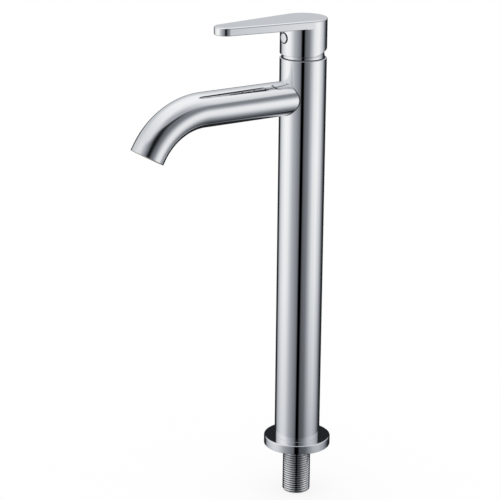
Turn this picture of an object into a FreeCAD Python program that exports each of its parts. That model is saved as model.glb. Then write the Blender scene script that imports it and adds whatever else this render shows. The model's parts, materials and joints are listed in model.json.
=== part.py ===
import FreeCAD, Part
import os
from math import ceil, cos, hypot, radians, sin, sqrt

# A tall single-cold pillar tap, in millimetres.
# The origin is the centre of the base flange's underside, on the deck. Z points up the column and the spout
# and the lever point along -Y. Water comes up the hollow shank and the supply pipe to the valve body, passes
# the two ceramic discs of the cartridge, and goes through the port in the column to the spout.

# Fits and gaps
SLIP = 0.05           # radial clearance of a sliding or running fit
BRAZE = 0.03          # joint gap of a brazed or pressed piece
PLAY = 0.3            # gap between pieces that move past each other
SEAL_PLAY = 0.02      # what an O-ring keeps clear of its walls
DISC_FILM = 0.02      # water film between the ceramic discs

# Base flange and its gasket
FLANGE_OVERHANG = 8.0       # how far the flange reaches past the column
FLANGE_THICKNESS = 6.7
FLANGE_TOP_ROUND = 0.7
FLANGE_FOOT_ROUND = 0.3
GASKET_RECESS = 1.8         # depth of the gasket's seat in the underside
GASKET_RIM = 2.5            # bare metal face outside the gasket
GASKET_BORE_GAP = 0.5       # gap between the gasket and the shank

# Threaded shank, a half-inch parallel pipe thread
SHANK_RADIUS = 10.4775
SHANK_LENGTH = 38.0         # below the deck
SHANK_GRIP = 16.0           # held in the base plug
SHANK_CHAMFER = 0.5
THREAD_PITCH = 1.8143
THREAD_DEPTH = 1.1617
THREAD_ROOT = 0.3           # width of the flat at the root
THREAD_HALF_ANGLE = 27.5
NECK_UNDERCUT = 0.15        # how far the gripped neck is turned below the thread's root
WATERWAY_RADIUS = 7.0
PIPE_STOP = 1.5             # thickness of the shoulder that the supply pipe stands on
SHANK_SEAL_SECTION = 0.95

# Base plug in the column's foot
SPIGOT_WALL = 1.9
SPIGOT_LIFT = 0.2           # gap between the spigot and the gasket
PLUG_HEIGHT = 14.0          # above the flange

# Supply pipe and its seals
PIPE_RADIUS = 6.0
PIPE_WALL = 1.0
PIPE_SEAL_SECTION = 0.78
PIPE_SEAL_DEPTH = 5.0       # from a socket's mouth to the middle of its seal
SEAL_GROOVE_SPARE = 0.6     # how much wider a groove is than its seal

# Column
COLUMN_WALL = 2.0
RIM_WALL = 1.0
RIM_CHAMFER = 0.5
FOOT_CHAMFER = 0.15

# Spout
SPOUT_HEIGHT = 269.5        # axis above the deck
SPOUT_RADIUS = 12.5
SPOUT_WALL = 1.2
SPOUT_STRAIGHT = 85.0       # from the column's axis to the bend
SPOUT_BEND_RADIUS = 50.0
SPOUT_TURN = 60.0           # degrees downwards
SPOUT_END = 4.0             # straight stretch after the bend
SPOUT_LIP_ROUND = 0.25
PORT_RADIUS = 6.5           # hole from the column into the spout

# Valve body
BODY_LAND = 8.0             # height of the lower land, which holds a seal
BODY_WAIST_RADIUS = 9.5
BODY_FLOOR = 4.0            # between the spout's chamber and the cartridge
BODY_SEAL_SECTION = 0.85
BODY_FLANGE = 2.5           # height of the flange that sits on the column's ledge
BODY_FLANGE_GAP = 0.1
SOCKET_DEPTH = 10.0         # how deep the supply pipe goes in
CUP_WALL = 1.0              # outside the nut's thread

# Cartridge, with a plastic body of 25 mm diameter
CARTRIDGE_RADIUS = 12.5
CARTRIDGE_GAP = 0.1
HOUSING_WALL = 1.9
BASE_LIFT = 0.2             # how far the seals hold the cartridge's floor off its seat
BASE_PLATE = 2.2
BASE_BOSS = 1.0
PEG_RADIUS = 1.0
PEG_LENGTH = 1.5
PEG_OFFSET = 8.5
FIXED_DISC_HEIGHT = 2.8
MOVING_DISC_HEIGHT = 2.6
WAY_RADIUS = 2.2            # water ways through the discs
WAY_SPACING = 8.4
WAY_LAP = 0.7               # how far a disc overlaps a closed way
DISC_RIM = 0.5              # more overlap, all round the moving disc
POCKET_DEPTH = 1.5
PORT_SEAL_WALL = 1.3
KEY_WIDTH = 2.0
KEY_DEPTH = 1.1
KEY_HEIGHT = 1.8
HOUSING_CEILING = 1.2
HOUSING_SHOULDER = 1.9      # from the cartridge's cavity to the shoulder under the nut
NECK_WALL = 1.6
NECK_HEIGHT = 6.3           # above the stem's pivot

# Stem
BALL_RADIUS = 1.8
BALL_PLAY = 0.12
SOCKET_FLOOR = 0.6
SOCKET_LIP = 0.2            # carrier above the ball
STEM_ARM_RADIUS = 1.5
STEM_EYE_RADIUS = 3.0
STEM_WIDTH = 7.0
STEM_LENGTH = 21.8          # above the pivot
STEM_CHAMFER = 0.5
PIN_RADIUS = 1.5
PIN_END_GAP = 0.4
LIFT_ANGLE = 25.0           # how far the lever lifts

# Bonnet nut
NUT_WALL = 1.25
NUT_BORE_GAP = 0.15
NUT_REACH = 2.6             # below the cartridge's shoulder
NUT_COLLAR = 2.9            # height of the collar that carries the dome cover
NUT_HEX_WALL = 1.5
NUT_HEX_HEIGHT = 3.5

# Dome cover
DOME_GAP = 0.6              # joint between the dome and the column's rim
DOME_WALL = 0.9
DOME_SEAT = 1.0             # from the rim down to the valve body's top
DOME_FOOT_LIFT = 0.2
DOME_OPENING_RADIUS = 12.6
RIM_BELOW_PIVOT = 0.2
COVER_SEAL_SECTION = 0.5
COVER_SEAL_LIFT = 1.5       # middle of the seal above the collar's foot

# Rim seal, the rubber ring in the joint round the dome cover
RIM_SEAL_PROUD = 0.35       # above the column's rim
RIM_SEAL_ROUND = 0.15

# Lever handle
SKIRT_LIFT = 2.8            # front of the skirt above the column's rim
SKIRT_HEIGHT = 26.2         # from the front edge to the lever's top
SKIRT_WALL = 2.5
SKIRT_THIN_HEIGHT = 4.2     # stretch of the skirt that is thinned to clear the dome
SKIRT_STEP = 1.5
SKIRT_EDGE = 0.4
REAR_CUT_START = 2.0        # in front of the axis
REAR_CUT_ANGLE = 14.6
LEVER_THICKNESS = 6.0
LEVER_LENGTH = 66.0         # from the axis to the middle of the tip's round
LEVER_TIP_RADIUS = 8.4
LEVER_TOP_ROUND = 1.2
LEVER_UNDER_ROUND = 0.8
LEVER_ROOF = 4.0            # metal over the skirt's cavity
BOSS_RADIUS = 6.2
BOSS_LIFT = 2.25            # above the dome cover
RIB_WIDTH = 9.0

# Handle screw and index plug
SCREW_LIFT = 4.1            # axis above the boss's foot
SCREW_RADIUS = 2.45
SCREW_LENGTH = 7.0
SCREW_TIP = 0.8
SCREW_KEY = 2.5
SCREW_KEY_DEPTH = 2.8
PLUG_RADIUS = 3.5
PLUG_HOLE_GAP = 0.7
PLUG_SEAT_DEPTH = 3.6       # below the skirt's surface
PLUG_PROUD = 0.6
PLUG_ROUND = 0.5
PLUG_STUB_RADIUS = 2.3
PLUG_STUB_LENGTH = 2.2

# Outlet ring and aerator, measured inwards from the spout's mouth
MOUTH_DEPTH = 9.2
MOUTH_WALL = 1.0
RING_INSET = 0.5
RING_LENGTH = 8.4
RING_WALL = 1.07
RING_STOP_WALL = 2.17
RING_STOP_LENGTH = 2.5
AERATOR_INSET = 0.7
AERATOR_WALL = 1.55
AERATOR_LENGTH = 4.5
AERATOR_LIP = 0.8
AERATOR_LIP_HEIGHT = 0.4
AERATOR_NOTCHES = 4
AERATOR_NOTCH_WIDTH = 1.6
AERATOR_NOTCH_DEPTH = 1.2
SEAL_WASHER_HEIGHT = 1.1
CORE_HEIGHT = 2.5
CORE_RIM = 0.8
CORE_RIM_HEIGHT = 0.7
CORE_HOLE_RADIUS = 0.6
CORE_HOLE_SPACING = 1.6
SCREEN_HEIGHT = 0.4
SCREEN_HOLE_RADIUS = 0.42
SCREEN_HOLE_SPACING = 1.5

V = FreeCAD.Vector
ORIGIN = V(0, 0, 0)
X_AXIS = V(1, 0, 0)
Z_AXIS = V(0, 0, 1)
TO_SPOUT = V(0, -1, 0)
OVER = 1.0              # how far a cutting tool runs past what it cuts
TINY = 1e-4

# Radii, from the cartridge outwards
nut_bore = CARTRIDGE_RADIUS + NUT_BORE_GAP
nut_thread = nut_bore + NUT_WALL
body_radius = nut_thread + SLIP + CUP_WALL
column_bore = body_radius + SLIP
column_radius = column_bore + COLUMN_WALL
rim_bore = column_radius - RIM_WALL
dome_radius = rim_bore - DOME_GAP
dome_bore = dome_radius - DOME_WALL
collar_radius = dome_bore - 2 * SLIP
skirt_bore = dome_radius + PLAY
flange_radius = column_radius + FLANGE_OVERHANG
housing_bore = CARTRIDGE_RADIUS - HOUSING_WALL
disc_radius = housing_bore - 2 * SLIP

# Radii of the shank, the plug and the pipe
neck_radius = SHANK_RADIUS - THREAD_DEPTH - NECK_UNDERCUT
spigot_radius = SHANK_RADIUS + SPIGOT_WALL
flange_bore = spigot_radius + 2 * SLIP
pipe_socket = PIPE_RADIUS + SLIP
pipe_bore = PIPE_RADIUS - PIPE_WALL
shank_pocket = neck_radius + 2 * (SHANK_SEAL_SECTION + SEAL_PLAY)

# Heights of the base
shank_foot = -SHANK_LENGTH
plug_foot = GASKET_RECESS + SPIGOT_LIFT
shank_shoulder = plug_foot - 2 * SLIP
shank_top = plug_foot + SHANK_GRIP
pipe_stop_foot = shank_shoulder
pipe_stop_top = pipe_stop_foot + PIPE_STOP
column_foot = FLANGE_THICKNESS
plug_top = column_foot + PLUG_HEIGHT

# Heights of the valve, from the spout's axis upwards
chamber_foot = SPOUT_HEIGHT - PORT_RADIUS
chamber_top = SPOUT_HEIGHT + PORT_RADIUS
body_foot = chamber_foot - BODY_LAND
socket_top = body_foot + SOCKET_DEPTH
seat = chamber_top + BODY_FLOOR
base_foot = seat + BASE_LIFT
housing_foot = base_foot + BASE_PLATE
fixed_foot = housing_foot + BASE_BOSS
moving_foot = fixed_foot + FIXED_DISC_HEIGHT + DISC_FILM
carrier_foot = moving_foot + MOVING_DISC_HEIGHT
ball_height = carrier_foot + SOCKET_FLOOR + BALL_PLAY + BALL_RADIUS
carrier_top = ball_height + BALL_RADIUS + SOCKET_LIP
cavity_top = carrier_top + PLAY
slot_foot = cavity_top + HOUSING_CEILING
pivot = slot_foot + PLAY + STEM_EYE_RADIUS
shoulder = cavity_top + HOUSING_SHOULDER
neck_top = pivot + NECK_HEIGHT
stem_top = pivot + STEM_LENGTH
stem_arm = pivot - ball_height

# Heights of the rim, the nut and the dome cover
rim = pivot - RIM_BELOW_PIVOT
body_top = rim - DOME_SEAT
ledge = body_top - BODY_FLANGE
nut_foot = shoulder - NUT_REACH
collar_foot = body_top + 2 * SLIP
collar_top = collar_foot + NUT_COLLAR
nut_top = collar_top + NUT_HEX_HEIGHT
dome_foot = body_top + DOME_FOOT_LIFT
dome_top = pivot + sqrt(dome_radius ** 2 - DOME_OPENING_RADIUS ** 2)

# The rocking stem: how far its faces reach at full lift, and how far the disc slides
stem_half = STEM_EYE_RADIUS
lift_sin = sin(radians(LIFT_ANGLE))
lift_cos = cos(radians(LIFT_ANGLE))
slot_rear = (stem_half + NECK_HEIGHT * lift_sin) / lift_cos + PLAY
slot_front = stem_half + PLAY
slot_half = STEM_WIDTH / 2 + PLAY
arm_reach = (STEM_ARM_RADIUS + (pivot - cavity_top) * lift_sin) / lift_cos + PLAY
housing_neck = hypot(slot_rear, slot_half) + NECK_WALL
hex_radius = (housing_neck + PLAY + NUT_HEX_WALL) / cos(radians(30))
disc_slide = stem_arm * lift_sin

# Water ways, on both sides of the middle of the disc's travel
way_middle = disc_slide / 2
inlet_way = way_middle - WAY_SPACING / 2
outlet_way = way_middle + WAY_SPACING / 2
moving_radius = WAY_SPACING / 2 + WAY_RADIUS + WAY_LAP + DISC_RIM

# Heights of the lever handle
skirt_foot = rim + SKIRT_LIFT
lever_top = skirt_foot + SKIRT_HEIGHT
lever_foot = lever_top - LEVER_THICKNESS
cavity_roof = lever_top - LEVER_ROOF
boss_foot = dome_top + BOSS_LIFT
screw_height = boss_foot + SCREW_LIFT
plug_seat = column_radius - PLUG_SEAT_DEPTH

# The spout's mouth
spout_turn = radians(SPOUT_TURN)
mouth_reach = SPOUT_STRAIGHT + SPOUT_BEND_RADIUS * sin(spout_turn) + SPOUT_END * cos(spout_turn)
mouth_drop = SPOUT_BEND_RADIUS * (1 - cos(spout_turn)) + SPOUT_END * sin(spout_turn)
mouth = V(0, -mouth_reach, SPOUT_HEIGHT - mouth_drop)
mouth_bore = SPOUT_RADIUS - MOUTH_WALL

# Radii and depths of the outlet ring and the aerator
ring_radius = mouth_bore - BRAZE
ring_thread = ring_radius - RING_WALL
ring_stop = ring_radius - RING_STOP_WALL
ring_end = RING_INSET + RING_LENGTH
ring_step = ring_end - RING_STOP_LENGTH
aerator_radius = ring_thread - SLIP
aerator_bore = aerator_radius - AERATOR_WALL
aerator_end = AERATOR_INSET + AERATOR_LENGTH
core_foot = AERATOR_INSET + AERATOR_LIP_HEIGHT
core_radius = aerator_bore - SLIP
screen_foot = core_foot + CORE_HEIGHT + CORE_RIM_HEIGHT


def cylinder(radius, foot, top, x=0.0, y=0.0):
    """Upright cylinder between two heights."""
    return Part.makeCylinder(radius, top - foot, V(x, y, foot))


def tube(outer, inner, foot, top):
    """Upright tube between two heights."""
    return cylinder(outer, foot, top).cut(cylinder(inner, foot - OVER, top + OVER))


def turned(points):
    """Solid of revolution about Z from its (radius, height) outline."""
    outline = [V(radius, 0, height) for radius, height in points]
    face = Part.Face(Part.makePolygon(outline + outline[:1]))
    return face.revolve(ORIGIN, Z_AXIS, 360)


def block(x_range, y_range, z_range):
    """Box between its low and high sides."""
    low = V(x_range[0], y_range[0], z_range[0])
    high = V(x_range[1], y_range[1], z_range[1])
    size = high - low
    return Part.makeBox(size.x, size.y, size.z, low)


def crosswise(radius, half_length, y, height):
    """Cylinder along X, centred on the middle plane."""
    return Part.makeCylinder(radius, 2 * half_length, V(-half_length, y, height), X_AXIS)


def forward(radius, near, far, height):
    """Cylinder towards the spout, between two distances from the axis."""
    return Part.makeCylinder(radius, far - near, V(0, -near, height), TO_SPOUT)


def seal_inside(wall, section, height):
    """O-ring against the outside of a round wall."""
    return Part.makeTorus(wall + section + SEAL_PLAY, section, V(0, 0, height))


def seal_under(wall, section, height):
    """O-ring against the inside of a round wall."""
    return Part.makeTorus(wall - section - SEAL_PLAY, section, V(0, 0, height))


def groove_half(section):
    """Half the width of the groove for an O-ring."""
    return section + SEAL_GROOVE_SPARE / 2


def inner_groove(bore, wall, section, height):
    """Tool that cuts a seal's groove in a bore that goes round the given wall."""
    half = groove_half(section)
    return tube(wall + 2 * (section + SEAL_PLAY), bore - OVER, height - half, height + half)


def outer_groove(radius, wall, section, height):
    """Tool that cuts a seal's groove in a land that fits inside the given wall."""
    half = groove_half(section)
    return tube(radius + OVER, wall - 2 * (section + SEAL_PLAY), height - half, height + half)


def rings_at(shape, height, radius):
    """The round edges of one radius at one height."""
    found = []
    for edge in shape.Edges:
        curve = edge.Curve
        if isinstance(curve, Part.Circle) and abs(curve.Radius - radius) < TINY:
            if abs(curve.Center.z - height) < TINY:
                found.append(edge)
    return found


def hexagon(corner_radius, foot, top):
    """Upright hexagonal prism."""
    corners = []
    for step in range(7):
        angle = radians(60 * step)
        corners.append(V(corner_radius * cos(angle), corner_radius * sin(angle), foot))
    return Part.Face(Part.makePolygon(corners)).extrude(V(0, 0, top - foot))


def hole_grid(spacing, radius, reach, foot, top):
    """Round tools in a triangular grid, as many as fit inside the reach."""
    tools = []
    rows = int(reach / spacing) + 1
    for row in range(-rows, rows + 1):
        for step in range(-rows, rows + 1):
            x = (step + 0.5 * (row % 2)) * spacing
            y = row * spacing * cos(radians(30))
            if hypot(x, y) + radius < reach:
                tools.append(cylinder(radius, foot - OVER, top + OVER, x, y))
    return Part.makeCompound(tools)


def at_mouth(shape):
    """Places a shape, modelled upwards from its outlet face, in the spout's mouth."""
    shape.rotate(ORIGIN, X_AXIS, SPOUT_TURN - 90)
    shape.translate(mouth)
    return shape


# The base

def base_flange():
    plate = tube(flange_radius, flange_bore, 0, FLANGE_THICKNESS)
    plate = plate.cut(cylinder(flange_radius - GASKET_RIM, -OVER, GASKET_RECESS))
    plate = plate.makeFillet(FLANGE_TOP_ROUND, rings_at(plate, FLANGE_THICKNESS, flange_radius))
    return plate.makeFillet(FLANGE_FOOT_ROUND, rings_at(plate, 0, flange_radius))


def base_gasket():
    outer = flange_radius - GASKET_RIM - SLIP
    return tube(outer, SHANK_RADIUS + GASKET_BORE_GAP, SLIP, GASKET_RECESS - SLIP)


def base_plug():
    pocket_top = shank_shoulder + 2 * (SHANK_SEAL_SECTION + SEAL_PLAY)
    return turned([
        (shank_pocket, plug_foot),
        (spigot_radius, plug_foot),
        (spigot_radius, column_foot),
        (column_bore - BRAZE, column_foot),
        (column_bore - BRAZE, plug_top),
        (neck_radius + SLIP, plug_top),
        (neck_radius + SLIP, pocket_top),
        (shank_pocket, pocket_top),
    ])


def shank_seal():
    height = shank_shoulder + SHANK_SEAL_SECTION + SEAL_PLAY
    return seal_inside(neck_radius, SHANK_SEAL_SECTION, height)


def thread_groove():
    """Helical tool for the shank's thread, from below its end to its shoulder, one turn at a time."""
    root = SHANK_RADIUS - THREAD_DEPTH
    slope = sin(radians(THREAD_HALF_ANGLE)) / cos(radians(THREAD_HALF_ANGLE))
    proud = 0.1
    root_half = THREAD_ROOT / 2
    crest_half = root_half + (THREAD_DEPTH + proud) * slope
    outline = Part.makePolygon([
        V(root, 0, -root_half),
        V(SHANK_RADIUS + proud, 0, -crest_half),
        V(SHANK_RADIUS + proud, 0, crest_half),
        V(root, 0, root_half),
        V(root, 0, -root_half),
    ])
    foot = shank_foot - THREAD_PITCH
    turns = ceil((shank_shoulder - foot) / THREAD_PITCH)
    spine = []
    for turn in range(turns):
        coil = Part.makeHelix(THREAD_PITCH, THREAD_PITCH, SHANK_RADIUS)
        coil.translate(V(0, 0, foot + turn * THREAD_PITCH))
        spine += coil.Edges
    outline.translate(V(0, 0, foot))
    return Part.Wire(spine).makePipeShell([outline], True, True)


def threaded_shank():
    shank = turned([
        (WATERWAY_RADIUS, shank_foot),
        (SHANK_RADIUS - SHANK_CHAMFER, shank_foot),
        (SHANK_RADIUS, shank_foot + SHANK_CHAMFER),
        (SHANK_RADIUS, shank_shoulder),
        (neck_radius, shank_shoulder),
        (neck_radius, shank_top),
        (pipe_socket, shank_top),
        (pipe_socket, pipe_stop_top),
        (pipe_bore, pipe_stop_top),
        (pipe_bore, pipe_stop_foot),
        (WATERWAY_RADIUS, pipe_stop_foot),
    ])
    seal_height = shank_top - PIPE_SEAL_DEPTH
    shank = shank.cut(inner_groove(pipe_socket, PIPE_RADIUS, PIPE_SEAL_SECTION, seal_height))
    return shank.cut(thread_groove())


def supply_pipe():
    return tube(PIPE_RADIUS, pipe_bore, pipe_stop_top + SLIP, socket_top - PLAY)


def pipe_seals():
    lower = seal_inside(PIPE_RADIUS, PIPE_SEAL_SECTION, shank_top - PIPE_SEAL_DEPTH)
    upper = seal_inside(PIPE_RADIUS, PIPE_SEAL_SECTION, body_foot + PIPE_SEAL_DEPTH)
    return Part.makeCompound([lower, upper])


# The column and the spout

def column_tube():
    column = turned([
        (column_bore, column_foot),
        (column_radius, column_foot),
        (column_radius, rim),
        (rim_bore, rim),
        (rim_bore, ledge),
        (column_bore, ledge),
    ])
    column = column.makeChamfer(RIM_CHAMFER, rings_at(column, rim, column_radius))
    column = column.makeChamfer(FOOT_CHAMFER, rings_at(column, column_foot, column_radius))
    return column.cut(forward(PORT_RADIUS, 0, column_radius + OVER, SPOUT_HEIGHT))


def spout_rod(radius):
    """Round rod along the spout's line, from the column's axis to the mouth."""
    bend_start = V(0, -SPOUT_STRAIGHT, SPOUT_HEIGHT)
    bend_centre = bend_start - Z_AXIS * SPOUT_BEND_RADIUS
    section = Part.Face(Part.Wire(Part.makeCircle(radius, bend_start, TO_SPOUT)))
    bend = section.revolve(bend_centre, X_AXIS, SPOUT_TURN)
    end = at_mouth(cylinder(radius, 0, SPOUT_END))
    return forward(radius, 0, SPOUT_STRAIGHT, SPOUT_HEIGHT).fuse([bend, end]).removeSplitter()


def spout_tube():
    spout = spout_rod(SPOUT_RADIUS)
    lip = [edge for edge in spout.Edges if edge.CenterOfMass.distanceToPoint(mouth) < TINY]
    spout = spout.makeFillet(SPOUT_LIP_ROUND, lip)
    spout = spout.cut(spout_rod(SPOUT_RADIUS - SPOUT_WALL))
    spout = spout.cut(at_mouth(cylinder(mouth_bore, -OVER, MOUTH_DEPTH)))
    return spout.cut(cylinder(column_radius, 0, rim))


# The valve body and the cartridge

def valve_body():
    body = turned([
        (0, body_foot),
        (body_radius, body_foot),
        (body_radius, chamber_foot),
        (BODY_WAIST_RADIUS, chamber_foot),
        (BODY_WAIST_RADIUS, chamber_top),
        (body_radius, chamber_top),
        (body_radius, ledge),
        (rim_bore - BODY_FLANGE_GAP, ledge),
        (rim_bore - BODY_FLANGE_GAP, body_top),
        (nut_thread + SLIP, body_top),
        (nut_thread + SLIP, nut_foot - PLAY),
        (CARTRIDGE_RADIUS + CARTRIDGE_GAP, nut_foot - PLAY),
        (CARTRIDGE_RADIUS + CARTRIDGE_GAP, seat),
        (0, seat),
    ])
    body = body.cut(cylinder(pipe_socket, body_foot - OVER, socket_top))
    pipe_seal = body_foot + PIPE_SEAL_DEPTH
    body = body.cut(inner_groove(pipe_socket, PIPE_RADIUS, PIPE_SEAL_SECTION, pipe_seal))
    for height in body_seal_heights():
        body = body.cut(outer_groove(body_radius, column_bore, BODY_SEAL_SECTION, height))
    body = body.cut(cylinder(WAY_RADIUS, socket_top - OVER, seat + OVER, 0, inlet_way))
    body = body.cut(cylinder(WAY_RADIUS, SPOUT_HEIGHT - WAY_RADIUS, seat + OVER, 0, outlet_way))
    body = body.cut(crosswise(WAY_RADIUS, BODY_WAIST_RADIUS + OVER, outlet_way, SPOUT_HEIGHT))
    for side in (-1, 1):
        foot = seat - PEG_LENGTH - 2 * SLIP
        body = body.cut(cylinder(PEG_RADIUS + SLIP, foot, seat + OVER, side * PEG_OFFSET, 0))
    return body


def body_seal_heights():
    """Middles of the lower land and of the floor under the cartridge."""
    return (chamber_foot - BODY_LAND / 2, chamber_top + BODY_FLOOR / 2)


def body_seals():
    rings = []
    for height in body_seal_heights():
        rings.append(seal_under(column_bore, BODY_SEAL_SECTION, height))
    return Part.makeCompound(rings)


def cartridge_base():
    base = cylinder(CARTRIDGE_RADIUS, base_foot, housing_foot)
    base = base.fuse(cylinder(disc_radius, housing_foot, fixed_foot))
    for side in (-1, 1):
        peg = cylinder(PEG_RADIUS, seat - PEG_LENGTH, base_foot + OVER, side * PEG_OFFSET, 0)
        base = base.fuse(peg).fuse(disc_key(side, 0, fixed_foot - OVER, fixed_foot + KEY_HEIGHT))
    for way in (inlet_way, outlet_way):
        port = WAY_RADIUS + PORT_SEAL_WALL + SLIP
        base = base.cut(cylinder(port, base_foot - OVER, fixed_foot + OVER, 0, way))
    return base.removeSplitter()


def disc_key(side, gap, foot, top):
    """Key at the edge of the fixed disc, or with a gap the notch that it fits in."""
    inner = disc_radius - KEY_DEPTH - gap
    outer = disc_radius + gap
    half = KEY_WIDTH / 2 + gap
    key = block(sorted((side * inner, side * outer)), (-half, half), (foot, top))
    return key.common(cylinder(outer, foot, top))


def port_seals():
    seals = []
    for way in (inlet_way, outlet_way):
        seal = cylinder(WAY_RADIUS + PORT_SEAL_WALL, seat, fixed_foot, 0, way)
        seals.append(seal.cut(cylinder(WAY_RADIUS, seat - OVER, fixed_foot + OVER, 0, way)))
    return Part.makeCompound(seals)


def fixed_disc():
    top = fixed_foot + FIXED_DISC_HEIGHT
    disc = cylinder(disc_radius, fixed_foot, top)
    for way in (inlet_way, outlet_way):
        disc = disc.cut(cylinder(WAY_RADIUS, fixed_foot - OVER, top + OVER, 0, way))
    for side in (-1, 1):
        disc = disc.cut(disc_key(side, SLIP, fixed_foot - OVER, fixed_foot + KEY_HEIGHT + SLIP))
    return disc


def carrier_key(side, gap, foot, top):
    """Key at the edge of the moving disc, or with a gap the notch that it fits in."""
    inner = moving_radius - KEY_DEPTH - gap
    half = KEY_WIDTH / 2 + gap
    key = block(
        sorted((side * inner, side * (moving_radius + gap))),
        (way_middle - half, way_middle + half),
        (foot, top),
    )
    return key.common(cylinder(moving_radius + gap, foot, top, 0, way_middle))


def moving_disc():
    disc = cylinder(moving_radius, moving_foot, carrier_foot, 0, way_middle)
    pocket_front = inlet_way + 2 * WAY_RADIUS + WAY_LAP
    pocket_top = moving_foot + POCKET_DEPTH
    for end in (pocket_front, outlet_way):
        disc = disc.cut(cylinder(WAY_RADIUS, moving_foot - OVER, pocket_top, 0, end))
    disc = disc.cut(block(
        (-WAY_RADIUS, WAY_RADIUS),
        (pocket_front, outlet_way),
        (moving_foot - OVER, pocket_top),
    ))
    for side in (-1, 1):
        foot = carrier_foot - KEY_HEIGHT - SLIP
        disc = disc.cut(carrier_key(side, SLIP, foot, carrier_foot + OVER))
    return disc


def disc_carrier():
    carrier = cylinder(moving_radius, carrier_foot, carrier_top, 0, way_middle)
    for side in (-1, 1):
        carrier = carrier.fuse(carrier_key(side, 0, carrier_foot - KEY_HEIGHT, carrier_foot + OVER))
    hole = BALL_RADIUS + BALL_PLAY
    carrier = carrier.cut(cylinder(hole, carrier_foot + SOCKET_FLOOR, carrier_top + OVER))
    rise = carrier_top - ball_height
    flare = (STEM_ARM_RADIUS + rise * lift_sin) / lift_cos + PLAY
    carrier = carrier.cut(Part.makeCone(hole, flare, rise, V(0, 0, ball_height)))
    return carrier.removeSplitter()


def cartridge_housing():
    housing = turned([
        (housing_bore, housing_foot),
        (CARTRIDGE_RADIUS, housing_foot),
        (CARTRIDGE_RADIUS, shoulder),
        (housing_neck, shoulder),
        (housing_neck, neck_top),
        (0, neck_top),
        (0, cavity_top),
        (housing_bore, cavity_top),
    ])
    slot = block((-slot_half, slot_half), (-slot_front, slot_rear), (slot_foot, neck_top + OVER))
    throat_half = STEM_ARM_RADIUS + PLAY
    throat = block(
        (-throat_half, throat_half),
        (-arm_reach, throat_half),
        (cavity_top - OVER, slot_foot + OVER),
    )
    pin_hole = crosswise(PIN_RADIUS + SEAL_PLAY, CARTRIDGE_RADIUS + OVER, 0, pivot)
    return housing.cut(slot).cut(throat).cut(pin_hole)


def cartridge_stem():
    half = STEM_WIDTH / 2
    shaft = block((-half, half), (-stem_half, stem_half), (pivot, stem_top))
    top_edges = [edge for edge in shaft.Edges if abs(edge.CenterOfMass.z - stem_top) < TINY]
    shaft = shaft.makeChamfer(STEM_CHAMFER, top_edges)
    stem = shaft.fuse(crosswise(STEM_EYE_RADIUS, half, 0, pivot))
    stem = stem.fuse(cylinder(STEM_ARM_RADIUS, ball_height, pivot))
    stem = stem.fuse(Part.makeSphere(BALL_RADIUS, V(0, 0, ball_height)))
    return stem.cut(crosswise(PIN_RADIUS + SLIP, half + OVER, 0, pivot)).removeSplitter()


def stem_pin():
    return crosswise(PIN_RADIUS, housing_neck - PIN_END_GAP, 0, pivot)


# The nut and the dome cover

def bonnet_nut():
    bore = housing_neck + PLAY
    nut = turned([
        (nut_bore, nut_foot),
        (nut_thread, nut_foot),
        (nut_thread, collar_foot),
        (collar_radius, collar_foot),
        (collar_radius, collar_top),
        (bore, collar_top),
        (bore, shoulder),
        (nut_bore, shoulder),
    ])
    seal = collar_foot + COVER_SEAL_LIFT
    nut = nut.cut(outer_groove(collar_radius, dome_bore - SLIP, COVER_SEAL_SECTION, seal))
    hexagonal = hexagon(hex_radius, collar_top, nut_top)
    hexagonal = hexagonal.cut(cylinder(bore, collar_top - OVER, nut_top + OVER))
    return nut.fuse(hexagonal).removeSplitter()


def cover_seal():
    return seal_under(dome_bore - SLIP, COVER_SEAL_SECTION, collar_foot + COVER_SEAL_LIFT)


def dome_cover():
    centre = V(0, 0, pivot)
    dome = Part.makeSphere(dome_radius, centre).fuse(cylinder(dome_radius, dome_foot, pivot))
    dome = dome.common(cylinder(dome_radius + OVER, dome_foot, dome_top))
    dome = dome.cut(Part.makeSphere(dome_bore, centre))
    dome = dome.cut(cylinder(dome_bore - SLIP, dome_foot - OVER, collar_top + 2 * SLIP))
    dome = dome.cut(cylinder(DOME_OPENING_RADIUS, dome_foot - OVER, dome_top + OVER))
    return dome.removeSplitter()


def rim_seal():
    """Ring that lies on the valve body and closes the joint between the dome cover and the column."""
    top = rim + RIM_SEAL_PROUD
    seal = tube(rim_bore - SEAL_PLAY, dome_radius + SEAL_PLAY, body_top + SEAL_PLAY, top)
    rims = [edge for edge in seal.Edges if abs(edge.BoundBox.ZMin - top) < TINY]
    return seal.makeFillet(RIM_SEAL_ROUND, rims)


# The lever handle, its screw and its plug

def lever_outline(height):
    """Teardrop face: a round at the column, a smaller one at the tip, and the two tangents."""
    lean = (column_radius - LEVER_TIP_RADIUS) / LEVER_LENGTH
    side = V(sqrt(1 - lean ** 2), -lean, 0)
    mirrored = V(-side.x, side.y, 0)
    axis = V(0, 0, height)
    tip = V(0, -LEVER_LENGTH, height)
    rear = Part.Arc(axis + side * column_radius, axis + V(0, column_radius, 0), axis + mirrored * column_radius)
    front = Part.Arc(tip + side * LEVER_TIP_RADIUS, tip - V(0, LEVER_TIP_RADIUS, 0), tip + mirrored * LEVER_TIP_RADIUS)
    right = Part.makeLine(axis + side * column_radius, tip + side * LEVER_TIP_RADIUS)
    left = Part.makeLine(axis + mirrored * column_radius, tip + mirrored * LEVER_TIP_RADIUS)
    return Part.Face(Part.Wire(Part.sortEdges([rear.toShape(), left, front.toShape(), right])[0]))


def lever_plate():
    plate = lever_outline(lever_foot).extrude(V(0, 0, LEVER_THICKNESS))
    for height, radius in ((lever_top, LEVER_TOP_ROUND), (lever_foot, LEVER_UNDER_ROUND)):
        rim_edges = [edge for edge in plate.Edges if abs(edge.BoundBox.ZMin - height) < TINY
                     and abs(edge.BoundBox.ZMax - height) < TINY]
        plate = plate.makeFillet(radius, rim_edges)
    return plate


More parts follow.
